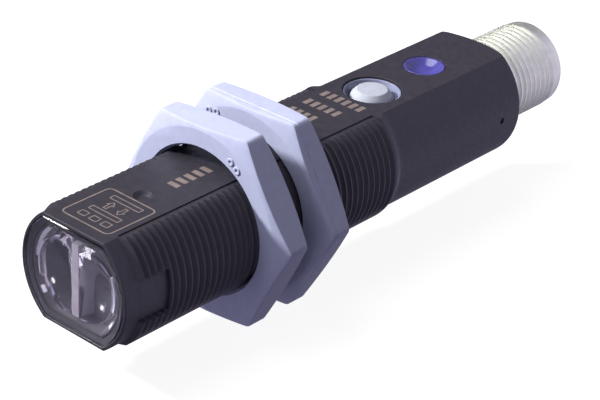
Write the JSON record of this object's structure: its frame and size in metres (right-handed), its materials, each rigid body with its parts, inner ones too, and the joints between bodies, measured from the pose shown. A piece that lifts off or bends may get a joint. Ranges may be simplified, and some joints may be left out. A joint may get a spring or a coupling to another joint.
{
  "type": "photoelectric sensor",
  "caption": "Tubular photoelectric sensor: threaded plastic barrel with flats, split front lens, teach button, status indicator, plug connector and hexagonal mounting nuts.",
  "frame": {"origin": "centre of the outer face of the front optical window, on the barrel axis", "axes": "-Y out of the optical face, +Y along the barrel to the connector, +Z out of the flat that carries the button"},
  "size_m": [0.0278, 0.0832, 0.0248],
  "materials": {
    "housing_plastic": "fine matt moulded black plastic",
    "window_clear": "clear polished plastic window",
    "lens_clear": "clear polished plastic lens",
    "optics_plastic": "dark matt moulding",
    "seal_rubber": "soft matt rubber",
    "board_laminate": "green solder mask",
    "chip_resin": "moulded chip resin",
    "led_resin": "pale diffusing resin",
    "capacitor_body": "moulded capacitor body",
    "plunger_plastic": "moulded switch actuator",
    "control_plastic": "soft satin lavender plastic",
    "button_plastic": "satin pale grey plastic",
    "indicator_plastic": "translucent violet plastic",
    "nickel_plate": "nickel plated brass, satin",
    "insert_plastic": "black moulded insulator",
    "gold_plate": "gold plated contact",
    "nut_plastic": "satin lavender moulded plastic",
    "marking_ink": "warm grey pad print"
  },
  "bodies": {
    "sensor_body": {"barrel_housing": "housing_plastic", "front_window": "window_clear", "emitter_lens": "lens_clear", "receiver_lens": "lens_clear", "light_guide": "lens_clear", "optical_divider": "optics_plastic", "optics_holder": "optics_plastic", "window_seal": "seal_rubber", "connector_seal": "seal_rubber", "front_circuit_board": "board_laminate", "main_circuit_board": "board_laminate", "receiver_photodiode": "chip_resin", "signal_processor": "chip_resin", "amplifier_chip": "chip_resin", "output_transistor": "chip_resin", "protection_diode": "chip_resin", "tactile_switch": "chip_resin", "emitter_led": "led_resin", "status_led": "led_resin", "filter_capacitor": "capacitor_body", "button_diaphragm": "control_plastic", "indicator_lens": "indicator_plastic", "connector_shell": "nickel_plate", "photodiode_shield": "nickel_plate", "connector_insert": "insert_plastic", "contact_pin_1": "gold_plate", "contact_pin_2": "gold_plate", "contact_pin_3": "gold_plate", "contact_pin_4": "gold_plate"},
    "button": {"teach_button": "button_plastic", "switch_plunger": "plunger_plastic"},
    "front_nut": {"front_mounting_nut": "nut_plastic"},
    "rear_nut": {"rear_mounting_nut": "nut_plastic"}
  },
  "joints": [
    {"name": "teach_button_press", "type": "slide", "parent": "sensor_body", "child": "button", "axis": [0, 0, -1], "range_m": [0, 0.0005], "stiffness_N_per_m": 3000},
    {"name": "front_nut_travel", "type": "slide", "parent": "sensor_body", "child": "front_nut", "axis": [0, 1, 0], "range_m": [-0.016, 0.0015]},
    {"name": "rear_nut_travel", "type": "slide", "parent": "sensor_body", "child": "rear_nut", "axis": [0, 1, 0], "range_m": [-0.0015, 0.014]}
  ]
}
